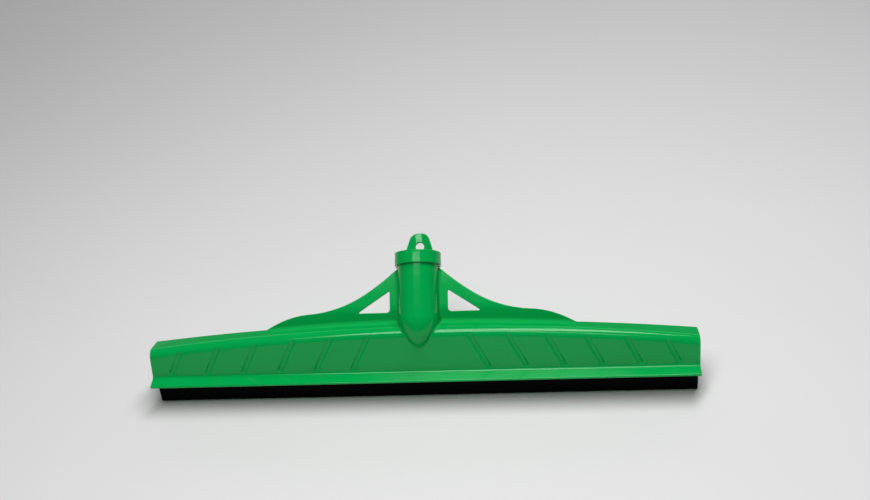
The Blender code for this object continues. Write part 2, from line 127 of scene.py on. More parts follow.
# %% Starting from a circle, and spinning it
def laid_ring(name, points, closed=True):
    """A mesh circle whose points are laid, in order, on the places given."""
    let_go()
    bpy.ops.mesh.primitive_circle_add(vertices=len(points), radius=0.02)
    piece = bpy.context.object
    piece.name = piece.data.name = name
    for vertex, place in zip(piece.data.vertices, points):
        vertex.co = place
    if not closed:
        ends = {0, len(points) - 1}
        edit_some(piece, "EDGE", lambda edge: set(edge.vertices) == ends)
        bpy.ops.mesh.delete(type="EDGE")
        done()
    return piece


def merge_doubles(piece):
    """Merge points that lie on each other, then turn all faces outwards."""
    edit(piece, everything=True)
    bpy.ops.mesh.remove_doubles(threshold=0.000001)
    bpy.ops.mesh.select_all(action="SELECT")
    bpy.ops.mesh.normals_make_consistent(inside=False)
    done()


def turned(name, profile, steps, closed=False):
    """Spin (radius, height) points once about the local Z axis."""
    piece = laid_ring(name, [(radius, 0.0, height) for radius, height in profile], closed)
    edit(piece, everything=True)
    bpy.ops.mesh.spin(steps=steps, angle=2 * math.pi, center=(0, 0, 0), axis=(0, 0, 1))
    done()
    merge_doubles(piece)
    return piece


def settle(piece, place):
    """Move a piece by a matrix and bake the place into its mesh."""
    piece.matrix_world = place
    take(piece)
    bpy.ops.object.transform_apply(location=True, rotation=True, scale=True)

# %% Cutting, softening and shading
def cut(piece, cutter):
    """Take the cutter's shape out of a piece and delete the cutter."""
    take(piece)
    bpy.ops.object.modifier_add(type="BOOLEAN")
    modifier = piece.modifiers[-1]
    modifier.operation = "DIFFERENCE"
    modifier.solver = "EXACT"
    modifier.object = cutter
    bpy.ops.object.modifier_apply(modifier=modifier.name)
    take(cutter)
    bpy.ops.object.delete()


def soften(piece, width):
    """Round every edge that is sharper than 50 degrees, as a mould's edges are."""
    edit(piece, "EDGE")
    bpy.ops.mesh.edges_select_sharp(sharpness=math.radians(50))
    bpy.ops.mesh.bevel(offset=width, segments=4, affect="EDGES")
    done()


def shade_round(piece, angle=32):
    """Shade smoothly across soft edges, with flat faces kept flat between them."""
    take(piece)
    bpy.ops.object.shade_smooth_by_angle(angle=math.radians(angle))
    bpy.ops.object.modifier_add(type="WEIGHTED_NORMAL")
    modifier = piece.modifiers[-1]
    modifier.keep_sharp = True
    bpy.ops.object.modifier_apply(modifier=modifier.name)
    print(piece.name, len(piece.data.polygons), "faces")

# %% [markdown]
# ## The channel
# The body is one long injection moulding: a channel that is open below, with a grooved panel in
# front that leans back, a roof that slopes down behind, and a lip along each edge of its mouth. The
# roof arches, so the section is taller in the middle. It is drawn once as an outline with rounded
# corners. The filled outline is extruded along the head, cut into stations, and each station is
# laid on the section at its place, which is how a loft is made by hand.

# %% Sizes of the channel
LENGTH = 0.450
WALL = 0.0025
PANEL_LEAN, ROOF_SLOPE, REAR_LEAN = 13, 17, 6
PANEL_FOOT_Z = 0.0295
RIDGE_END_Z = 0.0531
RIDGE_RISE = 0.0132
RIDGE_RADIUS = 0.0070
REAR_RADIUS = 0.0025
REAR_INNER_RADIUS = 0.0010
FOOT_RADIUS = 0.0022
LIP = 0.0022
LIP_REACH = 0.0104
LIP_DROP = 0.0014
LIP_EDGE = 0.0009
LIP_ROOT = 0.0004
REAR_LIP_REACH = 0.0040
MID_Y = 0.00635
FOAM_HEIGHT = 0.0345
SLOT_HALF = 0.0116
LEDGE_FOOT = 0.0349
LEDGE = 0.0022
LEDGE_REACH = 0.0016
LEDGE_EDGE = 0.0005
LEDGE_ROOT = 0.0003
END_EDGE = 0.00035
STATION_CUTS = 99


def trigonometry(angle):
    """The sine, cosine and tangent of an angle in degrees."""
    turned_by = math.radians(angle)
    return math.sin(turned_by), math.cos(turned_by), math.tan(turned_by)


PANEL_SIN, PANEL_COS, PANEL_TAN = trigonometry(PANEL_LEAN)
ROOF_SIN, ROOF_COS, ROOF_TAN = trigonometry(ROOF_SLOPE)
REAR_SIN, REAR_COS, REAR_TAN = trigonometry(REAR_LEAN)


def panel_y(z):
    """The front panel's outer face at a height."""
    return MID_Y - SLOT_HALF - WALL / PANEL_COS + (z - FOAM_HEIGHT) * PANEL_TAN


def rear_y(z):
    """The rear wall's outer face at a height."""
    return MID_Y + SLOT_HALF + WALL / REAR_COS - (z - FOAM_HEIGHT) * REAR_TAN


def ridge(x):
    """Where panel and roof would meet without the round fold, as (y, z)."""
    z = RIDGE_END_Z + RIDGE_RISE * (1 - (2 * x / LENGTH) ** 2)
    return Vector((panel_y(z), z))


def roof_z(x, y):
    """The roof's outer face."""
    return ridge(x).y - (y - ridge(x).x) * ROOF_TAN


def rear_corner(x):
    """Where the roof meets the rear wall, as (y, z)."""
    top = ridge(x)
    run = (rear_y(top.y) - top.x) / (1 - ROOF_TAN * REAR_TAN)
    return Vector((top.x + run, top.y - run * ROOF_TAN))


print("ridge in the middle", tuple(round(v, 4) for v in ridge(0)))

# %% The section's outline
def rounded(corners):
    """Replace each (point, radius, steps) corner of a closed outline by an arc."""
    points = []
    for i, (corner, radius, steps) in enumerate(corners):
        if radius == 0:
            points.append(corner)
            continue
        before = (corners[i - 1][0] - corner).normalized()
        after = (corners[(i + 1) % len(corners)][0] - corner).normalized()
        half = before.angle(after) / 2
        centre = corner + (before + after).normalized() * (radius / math.sin(half))
        start = corner + before * (radius / math.tan(half)) - centre
        end = corner + after * (radius / math.tan(half)) - centre
        sweep = start.angle_signed(end)
        for k in range(steps + 1):
            spoke = start.copy()
            spoke.rotate(Matrix.Rotation(-sweep * k / steps, 2))
            points.append(centre + spoke)
    return points


def section(x):
    """The channel's closed outline at x: front lip, panel, roof, rear wall, rear lip, inside."""
    foot = Vector((panel_y(PANEL_FOOT_Z), PANEL_FOOT_Z))
    tip = foot + Vector((-LIP_REACH, -LIP_DROP))
    root_y = foot.x + WALL / PANEL_COS
    root_z = PANEL_FOOT_Z + (root_y - foot.x) * LIP_DROP / LIP_REACH - LIP
    rear_foot = Vector((rear_y(foot.y - LIP_DROP), foot.y - LIP_DROP))
    rear_tip = rear_foot + Vector((REAR_LIP_REACH, 0))
    rear_root = rear_foot.y - LIP
    top, back = ridge(x), rear_corner(x)
    inner_back = back.x - WALL / REAR_COS
    inner_front = top.x + WALL / PANEL_COS
    ceiling = WALL / ROOF_COS
    ledge_top = LEDGE_FOOT + LEDGE
    return rounded([
        (Vector((root_y - LIP * PANEL_TAN, root_z)), LIP_ROOT, 3),
        (tip - Vector((0, LIP)), LIP_EDGE, 5),
        (tip, LIP_EDGE, 5),
        (foot, FOOT_RADIUS, 7),
        (top, RIDGE_RADIUS, 18),
        (back, REAR_RADIUS, 9),
        (rear_foot, FOOT_RADIUS, 7),
        (rear_tip, LIP_EDGE, 5),
        (rear_tip - Vector((0, LIP)), LIP_EDGE, 5),
        (Vector((rear_y(rear_root) - WALL / REAR_COS, rear_root)), LIP_ROOT, 3),
        (Vector((rear_y(LEDGE_FOOT) - WALL / REAR_COS, LEDGE_FOOT)), LEDGE_ROOT, 2),
        (Vector((MID_Y + LEDGE_REACH, LEDGE_FOOT)), LEDGE_EDGE, 3),
        (Vector((MID_Y + LEDGE_REACH, ledge_top)), LEDGE_EDGE, 3),
        (Vector((rear_y(ledge_top) - WALL / REAR_COS, ledge_top)), LEDGE_ROOT, 2),
        (Vector((inner_back, roof_z(x, inner_back) - ceiling)), REAR_INNER_RADIUS, 4),
        (Vector((inner_front, roof_z(x, inner_front) - ceiling)), RIDGE_RADIUS - WALL, 10),
        (Vector((panel_y(ledge_top) + WALL / PANEL_COS, ledge_top)), LEDGE_ROOT, 2),
        (Vector((MID_Y - LEDGE_REACH, ledge_top)), LEDGE_EDGE, 3),
        (Vector((MID_Y - LEDGE_REACH, LEDGE_FOOT)), LEDGE_EDGE, 3),
        (Vector((panel_y(LEDGE_FOOT) + WALL / PANEL_COS, LEDGE_FOOT)), LEDGE_ROOT, 2),
    ])


print("points round the section", len(section(0)))

# %% Extrude the section and lay it along the arch
half_length = LENGTH / 2
base = section(-half_length)
head = laid_ring("squeegee_head", [(-half_length, y, z) for y, z in base])
edit(head, everything=True)
bpy.ops.mesh.edge_face_add()
bpy.ops.mesh.extrude_region_move(TRANSFORM_OT_translate={"value": (LENGTH, 0, 0)})
done()
edit_some(head, "EDGE", lambda edge: abs(
    head.data.vertices[edge.vertices[0]].co.x
    - head.data.vertices[edge.vertices[1]].co.x) > half_length)
bpy.ops.mesh.subdivide(number_cuts=STATION_CUTS)
done()
nearest = kdtree.KDTree(len(base))
for k, (y, z) in enumerate(base):
    nearest.insert((0, y, z), k)
nearest.balance()
sections = {}
for vertex in head.data.vertices:
    k = nearest.find((0, vertex.co.y, vertex.co.z))[1]
    station = round(vertex.co.x, 5)
    if station not in sections:
        sections[station] = section(station)
    vertex.co.y, vertex.co.z = sections[station][k]
merge_doubles(head)
edit_some(head, "EDGE", lambda edge: all(
    abs(head.data.vertices[v].co.x) > half_length - 0.00001 for v in edge.vertices))
bpy.ops.mesh.bevel(offset=END_EDGE, segments=3, affect="EDGES")
done()
print("stations", len(sections))

# %% [markdown]
# ## The grooves in the panel
# Six slanting grooves are pressed into the panel on each side of the socket. They are shallow and
# round in section, their rims are soft, and their tops run up onto the round fold. One cutter is
# turned like a bowl with a flared rim, its upper half is pulled up along the slant, which gives a
# slot with round ends, and each of its points is then laid on the panel or bent round the fold.
# A bump in the material could suggest them too, but real hollows also break the fold's highlight.

# %% Sizes and the cutter's profile
GROOVES_PER_SIDE = 6
GROOVE_FIRST, GROOVE_PITCH, GROOVE_SLANT = 0.0555, 0.0305, 26.9
GROOVE_RADIUS, GROOVE_DEPTH, GROOVE_RIM = 0.0036, 0.0009, 0.0008
GROOVE_FOOT, GROOVE_CLIMB = 0.0038, 0.0048
GROOVE_FLARE = math.radians(9)
CUTTER_TOP, CUTTER_BRIM = 0.001, 0.00004
CUTTER_STEPS = 24
BEND_CUTS, BEND_STEP = 12, 0.0007
FOLD_REACH = RIDGE_RADIUS * math.tan(math.radians((90 - ROOF_SLOPE - PANEL_LEAN) / 2))


def groove_profile():
    """From the top of the cutter down its flared rim and round its hollow to the middle."""
    rise = GROOVE_RADIUS - GROOVE_DEPTH
    reach = GROOVE_RADIUS + GROOVE_RIM
    rim_x = math.sqrt(reach ** 2 - (rise + GROOVE_RIM) ** 2)
    open_angle = math.atan2(rim_x, rise + GROOVE_RIM)
    points = []
    for k in range(5):
        lean = GROOVE_FLARE + (open_angle - GROOVE_FLARE) * k / 4
        points.append((rim_x - GROOVE_RIM * math.sin(lean), GROOVE_RIM * (math.cos(lean) - 1)))
    brim_x = points[0][0] + (CUTTER_BRIM - points[0][1]) / math.tan(GROOVE_FLARE)
    points = [(0, CUTTER_TOP), (brim_x, CUTTER_TOP), (brim_x, CUTTER_BRIM)] + points
    for k in range(1, 7):
        swing = open_angle * (1 - k / 6)
        points.append((GROOVE_RADIUS * math.sin(swing), rise - GROOVE_RADIUS * math.cos(swing)))
    return points


def fold_start(x):
    """How far up the panel's face the round fold begins at x."""
    return (ridge(x).y - PANEL_FOOT_Z) / PANEL_COS - FOLD_REACH


def on_panel(x, up, out):
    """A place on the panel, or past its top round the fold, and how far it stands out of it."""
    bent = max(up - fold_start(x), 0) / RIDGE_RADIUS
    flat = min(up, fold_start(x))
    along = Vector((PANEL_SIN, PANEL_COS))
    facing = Vector((-along.y, along.x))
    centre = Vector((panel_y(PANEL_FOOT_Z), PANEL_FOOT_Z)) + along * flat - facing * RIDGE_RADIUS
    facing.rotate(Matrix.Rotation(-bent, 2))
    y, z = centre + facing * (RIDGE_RADIUS + out)
    return x, y, z


def groove_cutter(index, side):
    """One cutter in place on the panel, divided where it bends round the fold."""
    foot_x = GROOVE_FIRST + GROOVE_PITCH * index
    rise = fold_start(foot_x) + GROOVE_CLIMB - GROOVE_FOOT
    run = rise / math.cos(math.radians(GROOVE_SLANT))
    cutter = turned("groove_cutter", groove_profile(), CUTTER_STEPS)
    settle(cutter, turn(180 / CUTTER_STEPS, "Z"))
    edit_some(cutter, "VERT", lambda vertex: vertex.co.y > 0.00001)
    bpy.ops.transform.translate(value=(0, run, 0))
    done()
    for k in range(1, BEND_CUTS + 1):
        edit(cutter, everything=True)
        bpy.ops.mesh.bisect(plane_co=(0, run - BEND_STEP * k, 0), plane_no=(0, 1, 0))
        done()
    foot = Matrix.Translation((side * foot_x, GROOVE_FOOT, 0))
    settle(cutter, foot @ turn(side * GROOVE_SLANT, "Z"))
    for vertex in cutter.data.vertices:
        vertex.co = on_panel(*vertex.co)
    return cutter


cutters = [groove_cutter(index, side) for side in (-1, 1) for index in range(GROOVES_PER_SIDE)]
take(*cutters)
bpy.ops.object.join()
cut(head, cutters[0])
print("grooves cut", len(head.data.polygons))

# %% [markdown]
# ## The socket
# The socket is a tube that leans back by 45 degrees and ends in a rounded nose, which comes out
# through the fold between roof and panel. It is turned in one go from a profile that runs down the
# bore, back over the rim and down the outside to the nose, so its wall is closed. The channel first
# gets a space for it, a little wider than the bore, so that nothing stands in the bore.

# %% The socket's frame
SOCKET_LEAN = 45
WING_SETBACK, SOCKET_FORWARD = 0.0022, 0.0057
SOCKET_RADIUS, SOCKET_LENGTH = 0.0167, 0.0539
NOSE_START, NOSE_LENGTH, NOSE_FULLNESS = 0.0020, 0.0230, 1.75
BORE_MOUTH, BORE_END, BORE_DROP = 0.0126, 0.0114, 0.0060
BORE_STEPS, NOSE_STEPS = 12, 36
SPACE_MARGIN = 0.001
MOUTH_EDGE, RIM_EDGE = 0.0005, 0.0004

foot_y = rear_corner(0).x - WING_SETBACK
WING_FOOT = Vector((0, foot_y, roof_z(0, foot_y)))
WING_PLACE = Matrix.Translation(WING_FOOT) @ turn(SOCKET_LEAN, "X")
SOCKET_PLACE = WING_PLACE @ Matrix.Translation((0, 0, SOCKET_FORWARD)) @ turn(-90, "X") @ turn(180, "Z")


def nose(angle):
    """The nose's (radius, height), from 0 degrees at the tube to 90 at its tip."""
    spread, sink = math.cos(math.radians(angle)), math.sin(math.radians(angle))
    radius = SOCKET_RADIUS * max(spread, 0.0) ** (2 / NOSE_FULLNESS)
    return radius, NOSE_START - NOSE_LENGTH * sink ** (2 / NOSE_FULLNESS)


def bore(grown):
    """The bore's (radius, height) from its round end up to its mouth, grown by a margin."""
    points = [(0, -BORE_DROP - BORE_END - grown)]
    for k in range(1, BORE_STEPS + 1):
        swing = math.pi / 2 * k / BORE_STEPS
        drop = BORE_DROP + (BORE_END + grown) * math.cos(swing)
        points.append(((BORE_END + grown) * math.sin(swing), -drop))
    return points + [(BORE_MOUTH + grown, SOCKET_LENGTH)]


space = turned("socket_space", bore(SPACE_MARGIN) + [(0, SOCKET_LENGTH)], 64)
settle(space, SOCKET_PLACE)
cut(head, space)
print("foot of the wings", tuple(round(v, 4) for v in WING_FOOT))

# %% Turn the socket
rim = [(BORE_MOUTH, SOCKET_LENGTH - MOUTH_EDGE), (BORE_MOUTH + MOUTH_EDGE, SOCKET_LENGTH),
       (SOCKET_RADIUS - RIM_EDGE, SOCKET_LENGTH), (SOCKET_RADIUS, SOCKET_LENGTH - RIM_EDGE)]
walls = [(SOCKET_RADIUS, height) for height in (0.035, 0.017)]
tip = [nose(90 * k / NOSE_STEPS) for k in range(NOSE_STEPS)] + [(0, NOSE_START - NOSE_LENGTH)]
socket = turned("handle_tube", bore(0)[:-1] + rim + walls + tip, 96)
settle(socket, SOCKET_PLACE)
print("socket", len(socket.data.polygons))

# %% [markdown]
# ## The wings
# A thin wing braces the socket on each side. Its top edge falls in a double curve from the collar to
# a shoulder and runs out on the roof, and it has a three-cornered window. It rises steeply from the
# roof, bends back at a soft knee and then runs along the socket. Each wing is drawn flat on a filled
# circle, extruded by its thickness, cut with the window's outline and rounded along all its edges.
# A few cuts across the knee then let each point be pushed forward by the bulge at its height.

# %% The wing's outline
WING_THICKNESS, WING_SPAN = 0.0030, 0.1345
WING_EDGE = 0.00065
SHOULDER = Vector((0.0920, 0.0083))
COLLAR_FOOT, WING_TOP_GAP = 0.0457, 0.0011
WING_HEIGHT = COLLAR_FOOT - WING_TOP_GAP
# The wing's inner edge lies hidden in the tube's wall.
WING_INNER_X = 0.0138
FOOT_STEPS = 12
# Where the top edge's two curves are pulled to, as shares of their way out and down.
TOP_PULLS = ((0.31, 0.55), (0.57, 0.95))
END_PULLS = ((0.35, 0.06), (0.68, 0.44))
WINDOW_INNER, WINDOW_OUTER = 0.0240, 0.0508
WINDOW_SILL, WINDOW_TOP = 0.0081, 0.0259
WINDOW_CORNER, WINDOW_TOP_TIP, WINDOW_OUTER_TIP = 0.0028, 0.0007, 0.0005
KNEE, KNEE_SPAN, KNEE_CUTS = 0.0110, 0.0060, 12
WING_FOOT_LEAN = 23
FOOT_SLOPE = math.tan(math.radians(SOCKET_LEAN - WING_FOOT_LEAN))


def bulge(height):
    """How far the wing stands in front of its plane at a height, and its slope there."""
    start = KNEE - KNEE_SPAN / 2
    past = min(max(height - start, 0.0), KNEE_SPAN)
    steep = min(height, start) + past - past ** 2 / (2 * KNEE_SPAN)
    return FOOT_SLOPE * steep, FOOT_SLOPE * (1 - past / KNEE_SPAN)


def wing_root(x):
    """How far up the wing's plane its front face meets the roof at x."""
    drop = WING_FOOT.z - roof_z(x, WING_FOOT.y)
    return -drop / (math.sqrt(0.5) * (1 + FOOT_SLOPE + (1 - FOOT_SLOPE) * ROOF_TAN))


def between(start, end, along, up):
    """A point at these shares of the way from start to end."""
    return Vector((start.x + (end.x - start.x) * along, start.y + (end.y - start.y) * up))


def curve(start, end, pulls, count):
    """Points along a cubic curve, both ends included."""
    pull_a, pull_b = [between(start, end, along, up) for along, up in pulls]
    points = []
    for k in range(count + 1):
        t, s = k / count, 1 - k / count
        points.append(start * s ** 3 + pull_a * 3 * s * s * t + pull_b * 3 * s * t * t + end * t ** 3)
    return points


wing_top = Vector((SOCKET_RADIUS, WING_HEIGHT))
wing_end = Vector((WING_SPAN, wing_root(WING_SPAN) - WALL))
wing_edge = curve(wing_top, SHOULDER, TOP_PULLS, 28) + curve(SHOULDER, wing_end, END_PULLS, 20)[1:]
wing_foot_line = []
for k in range(1, FOOT_STEPS + 1):
    x = wing_end.x + (WING_INNER_X - wing_end.x) * k / FOOT_STEPS
    wing_foot_line.append(Vector((x, wing_root(x) - WALL)))
wing_outline = [Vector((WING_INNER_X, wing_top.y))] + wing_edge + wing_foot_line
window = rounded([
    (Vector((WINDOW_INNER, WINDOW_SILL)), WINDOW_CORNER, 8),
    (Vector((WINDOW_INNER, WINDOW_TOP)), WINDOW_TOP_TIP, 5),
    (Vector((WINDOW_OUTER, WINDOW_SILL)), WINDOW_OUTER_TIP, 5),
])
print("wing outline", len(wing_outline), "points")

# %% Make one wing and its mirror copy
def slab(name, outline, front, back):
    """Fill an outline at height front and extrude it down to back, along local Z."""
    piece = laid_ring(name, [(x, y, front) for x, y in outline])
    edit(piece, everything=True)
    bpy.ops.mesh.edge_face_add()
    bpy.ops.mesh.extrude_region_move(TRANSFORM_OT_translate={"value": (0, 0, back - front)})
    done()
    merge_doubles(piece)
    return piece


CUT_MARGIN = 0.002

wing_right = slab("wing_plate_right", wing_outline, 0, -WING_THICKNESS)
cut(wing_right, slab("window_cutter", window, CUT_MARGIN, -WING_THICKNESS - CUT_MARGIN))
soften(wing_right, WING_EDGE)
for k in range(KNEE_CUTS + 1):
    edit(wing_right, everything=True)
    bpy.ops.mesh.bisect(plane_co=(0, KNEE + KNEE_SPAN * (k / KNEE_CUTS - 0.5), 0), plane_no=(0, 1, 0))
    done()
for vertex in wing_right.data.vertices:
    vertex.co.z += bulge(vertex.co.y)[0]
take(wing_right)
bpy.ops.object.duplicate()
wing_left = bpy.context.object
wing_left.name = wing_left.data.name = "wing_plate_left"
settle(wing_left, Matrix.Scale(-1, 4, (1, 0, 0)))
merge_doubles(wing_left)
for wing in (wing_right, wing_left):
    settle(wing, WING_PLACE)
print("wing", len(wing_right.data.polygons), "faces")

# %% [markdown]
# ## The soft folds
# Molten plastic needs round inner corners, so the wings, the socket and the channel flow into each
# other. Each fold is what a ball leaves when it rolls along the corner: an arc between the two places
# where it touches. It is laid ring by ring on a mesh grid, with two more points of each ring sunk in
# the walls, so each fold is a closed shape that lies on the other surfaces without a step.

# %% Laying a grid ring by ring
def laid_strip(name, rings, around=False):
    """A closed shape laid on rings, which meets itself if it goes around. It is marked unpolished."""
    rows = rings + [rings[0]] if around else rings
    columns = len(rings[0])
    let_go()
    bpy.ops.mesh.primitive_grid_add(x_subdivisions=columns, y_subdivisions=len(rows) - 1, size=0.05)
    piece = bpy.context.object
    piece.name = piece.data.name = name
    for j, ring in enumerate(rows):
        for i in range(columns + 1):
            piece.data.vertices[j * (columns + 1) + i].co = ring[i % columns]
    merge_doubles(piece)
    if not around:
        edit(piece)
        bpy.ops.mesh.select_non_manifold()
        bpy.ops.mesh.fill_holes(sides=0)
        done()
        merge_doubles(piece)
    unpolished = piece.data.attributes.new("unpolished", "FLOAT", "POINT")
    for point in unpolished.data:
        point.value = 1.0
    return piece


def fold_ring(centre, radius, normal_a, normal_b, steps=10, sunk=0.0012):
    """One ring: the arc from where the ball touches wall a to where it touches wall b."""
    start, end = -normal_a, -normal_b
    swing = start.angle(end)
    points = []
    for k in range(steps + 1):
        share = swing * k / steps
        spoke = (start * math.sin(swing - share) + end * math.sin(share)) / math.sin(swing)
        points.append(centre + spoke * radius)
    points.append(points[-1] - normal_b * sunk)
    points.append(points[0] - normal_a * sunk)
    return points

# %% The fold between wing and roof
to_world = WING_PLACE.to_3x3()
WING_UP = to_world @ Vector((0, 1, FOOT_SLOPE))
WING_NORMAL = (to_world @ Vector((0, -FOOT_SLOPE, 1))).normalized()
ROOF_NORMAL = Vector((0, ROOF_SIN, ROOF_COS))
ROOF_FORWARD = Vector((0, -ROOF_COS, ROOF_SIN))
FOLD_RADIUS, SMALLEST_FOLD = 0.0034, 0.0001
FOLD_TAN = math.tan(WING_UP.angle(ROOF_FORWARD) / 2)
FOLD_START_X, FOLD_END_X = 0.0145, 0.1315
FOLD_ROWS = 60
EDGE_MARGIN = 0.0004


def edge_height(x):
    """The height of the wing's top edge at x, in its own plane."""
    for first, second in zip(wing_edge, wing_edge[1:]):
        if first.x <= x <= second.x:
            share = (x - first.x) / (second.x - first.x)
            return first.y + (second.y - first.y) * share
    return wing_end.y


def wing_fold(side):
    """The fold between one wing and the roof, narrower where the wing runs out."""
    rings = []
    for k in range(FOLD_ROWS + 1):
        x = FOLD_START_X + (FOLD_END_X - FOLD_START_X) * k / FOLD_ROWS
        free = edge_height(x) - wing_root(x) - EDGE_MARGIN
        radius = max(min(FOLD_RADIUS, free * FOLD_TAN * 0.9), SMALLEST_FOLD)
        corner = WING_FOOT + WING_UP * wing_root(x) + Vector((side * x, 0, 0))
        centre = corner + WING_UP.normalized() * (radius / FOLD_TAN) + WING_NORMAL * radius
        rings.append(fold_ring(centre, radius, WING_NORMAL, ROOF_NORMAL))
    return laid_strip("wing_fold", rings)


folds = [wing_fold(side) for side in (-1, 1)]
print("wing folds", len(folds[0].data.polygons))

# %% The folds between socket and wings, in front and behind
TUBE_FOLD_FRONT, TUBE_FOLD_BEHIND = 0.0026, 0.0020
TUBE_FOLD_FOOT, TUBE_FOLD_LENGTH = -0.004, 0.0490


def edge_x(height):
    """How far out the wing's top edge is at a height."""
    for first, second in zip(wing_edge, wing_edge[1:]):
        if second.y <= height <= first.y:
            share = (first.y - height) / (first.y - second.y)
            return first.x + (second.x - first.x) * share
    return WING_SPAN


def tube_fold(side, behind):
    """A fold along the tube: its ball touches the wing's face and the tube."""
    sign = -1 if behind else 1
    widest = TUBE_FOLD_BEHIND if behind else TUBE_FOLD_FRONT
    rings = []
    for k in range(FOLD_ROWS + 1):
        height = TUBE_FOLD_FOOT + TUBE_FOLD_LENGTH * k / FOLD_ROWS
        out, slope = bulge(height)
        face = out - WING_THICKNESS if behind else out
        facing = Vector((0, -slope, 1)).normalized() * sign
        free = edge_x(height) - EDGE_MARGIN - SOCKET_RADIUS
        radius = max(min(widest, free), SMALLEST_FOLD)
        middle = Vector((0, height, face)) + facing * radius
        depth = middle.z - SOCKET_FORWARD
        middle.x = side * math.sqrt((SOCKET_RADIUS + radius) ** 2 - depth ** 2)
        away = Vector((middle.x, 0, depth)).normalized()
        rings.append(fold_ring(WING_PLACE @ middle, radius, to_world @ facing, to_world @ away, 8))
    return laid_strip("tube_fold", rings)


folds += [tube_fold(side, behind) for side in (-1, 1) for behind in (False, True)]
print("folds", len(folds))

# %% [markdown]
# The nose meets three surfaces in turn: the panel, the round fold above it and the roof, and behind
# the wings it meets the rear wall. For each direction round the nose, the ball is let down the nose's
# profile until its distance from the channel is its own radius.

# %% The fold round the nose
def wedge(place, corner, radius, normal_a, normal_b):
    """Distance from a rounded corner of the channel, and the direction away from it."""
    turned_in = normal_a.angle(normal_b)
    middle = (normal_a + normal_b).normalized()
    centre = corner - middle * (radius / math.cos(turned_in / 2))
    offset = place - centre
    on_a = offset.dot(Vector((-normal_b.y, normal_b.x)) * math.copysign(1, normal_a.cross(normal_b)))
    on_b = offset.dot(Vector((-normal_a.y, normal_a.x)) * math.copysign(1, normal_b.cross(normal_a)))
    if on_a < 0 and on_b < 0:
        return offset.length - radius, offset.normalized()
    near = max((normal_a, normal_b), key=lambda normal: offset.dot(normal))
    return offset.dot(near) - radius, near


PANEL_2D = Vector((-PANEL_COS, PANEL_SIN))
ROOF_2D = Vector((ROOF_SIN, ROOF_COS))
REAR_2D = Vector((REAR_COS, REAR_SIN))
NOSE_FOLD, NOSE_RINGS = 0.0022, 144
TUBE_REACH = 0.03


def channel_distance(place):
    """Distance of a point from the channel's outside, and the direction away from it."""
    flat = Vector((place.y, place.z))
    front = wedge(flat, ridge(place.x), RIDGE_RADIUS, PANEL_2D, ROOF_2D)
    back = wedge(flat, rear_corner(place.x), REAR_RADIUS, ROOF_2D, REAR_2D)
    distance, away = max(front, back, key=lambda result: result[0])
    return distance, Vector((0, away.x, away.y))


def nose_ball(share, around, radius):
    """The ball's middle and the direction away from the nose, 0 at the nose's start and 1 at its tip.

    Shares below 0 lie on the tube.
    """
    if share < 0:
        r, h = SOCKET_RADIUS, NOSE_START - share * TUBE_REACH
        out, rise = 1.0, 0.0
    else:
        r, h = nose(90 * share)
        next_r, next_h = nose(90 * (share + 0.002))
        out, rise = h - next_h, next_r - r
    flat = Vector((math.cos(around), math.sin(around), 0))
    away = (flat * out + Vector((0, 0, rise))).normalized()
    middle = flat * r + Vector((0, 0, h)) + away * radius
    return SOCKET_PLACE @ middle, (SOCKET_PLACE.to_3x3() @ away).normalized()


def nose_ring(around, radius):
    """Let the ball down in one direction, by halving, until it touches the channel."""
    high, low = -1.0, 0.98
    for _ in range(40):
        share = (high + low) / 2
        centre, away = nose_ball(share, around, radius)
        if channel_distance(centre)[0] > radius:
            high = share
        else:
            low = share
    centre, away = nose_ball(share, around, radius)
    return fold_ring(centre, radius, away, channel_distance(centre)[1], 10, 0.0010)


nose_rings = [nose_ring(2 * math.pi * k / NOSE_RINGS, NOSE_FOLD) for k in range(NOSE_RINGS)]
folds.append(laid_strip("nose_fold", nose_rings, around=True))
print("nose fold", len(folds[-1].data.polygons))

# %% [markdown]
# All these shells are one moulding, so they are joined into one object. They stay closed shapes that
# run into each other, which keeps the shading of the long smooth surfaces clean.

# %% Join the moulding
take(head, socket, wing_right, wing_left, *folds)
bpy.ops.object.join()
shade_round(head)
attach(head, "head")
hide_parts("head_channel", "handle_socket", "wing_left", "wing_right")

# %% [markdown]
# ## The collar
# A ring of the same green plastic grips the socket's upper end, with a thin dark line under it. It
# has a flat top round the mouth, and a rounded eye rises behind to hang the squeegee up by. The ring
# is turned from a closed profile. The eye could be cut out of a tube, but its edges are easier to
# round on a flat plate, so it starts flat, and its points are then pushed back onto the circle.

# %% Turn the ring
COLLAR_INNER, COLLAR_RADIUS = 0.0170, 0.0192
COLLAR_TOP, COLLAR_CAP = 0.0562, 0.0020
COLLAR_MOUTH = 0.0135
COLLAR_EDGE, COLLAR_FOOT_EDGE, COLLAR_CHAMFER = 0.0008, 0.0005, 0.0002
# The side runs nearly straight down from here to its foot, as (inwards, down from the top).
SIDE_TOP = (0.0002, 0.0016)
SIDE_FOOT_IN = 0.0001


def corner_arc(middle, radius, first, last, steps=4):
    """A few (radius, height) points round a corner, between two angles in degrees."""
    points = []
    for k in range(steps + 1):
        angle = math.radians(first + (last - first) * k / steps)
        points.append((middle[0] + radius * math.cos(angle), middle[1] + radius * math.sin(angle)))
    return points


